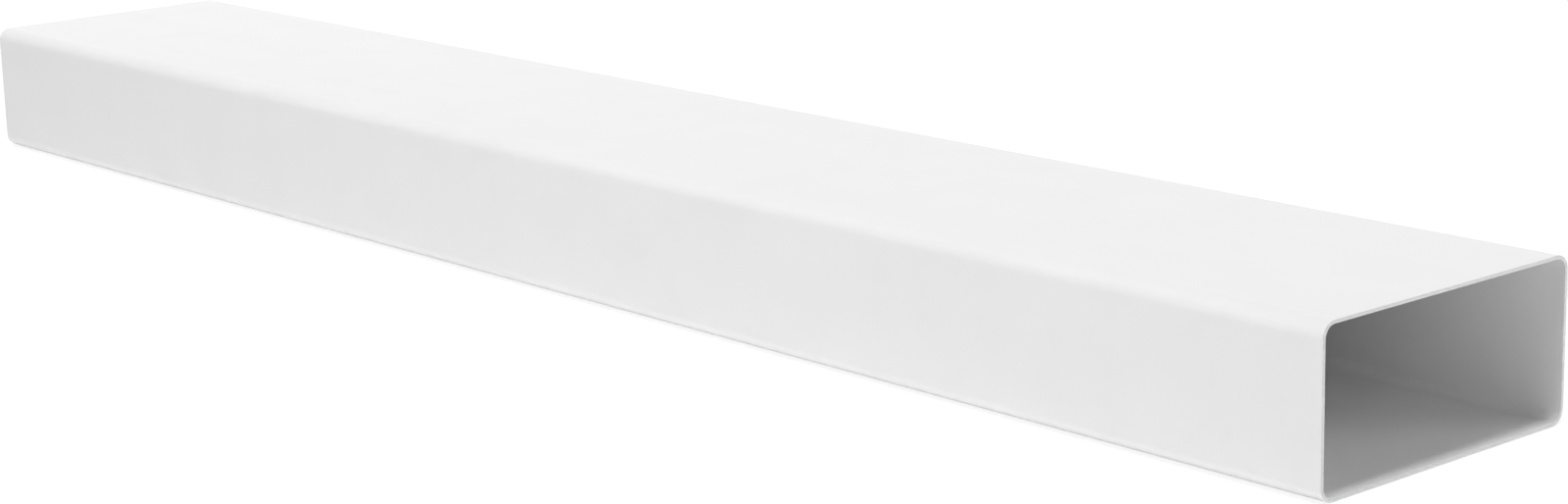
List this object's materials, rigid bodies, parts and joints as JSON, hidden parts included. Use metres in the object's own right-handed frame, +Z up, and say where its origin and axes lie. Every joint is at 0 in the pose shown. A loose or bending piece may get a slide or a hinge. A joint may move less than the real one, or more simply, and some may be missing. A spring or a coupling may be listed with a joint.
{
  "type": "flat channel duct",
  "caption": "Straight length of flat rectangular ventilation duct: thin-walled white plastic channel with rounded long corners, sawn square and open at both ends.",
  "frame": {"origin": "middle of the underside: half way along the length and across the width, on the plane that the lower broad wall rests on", "axes": "+X along the length, towards the open end that is nearest in the picture; +Y across the width; +Z up from the lower broad wall to the upper one"},
  "size_m": [1, 0.15, 0.07],
  "materials": {
    "white_pvc": "smooth satin white, as extruded, with sawn ends"
  },
  "bodies": {
    "root": {"duct_channel": "white_pvc"}
  },
  "joints": []
}
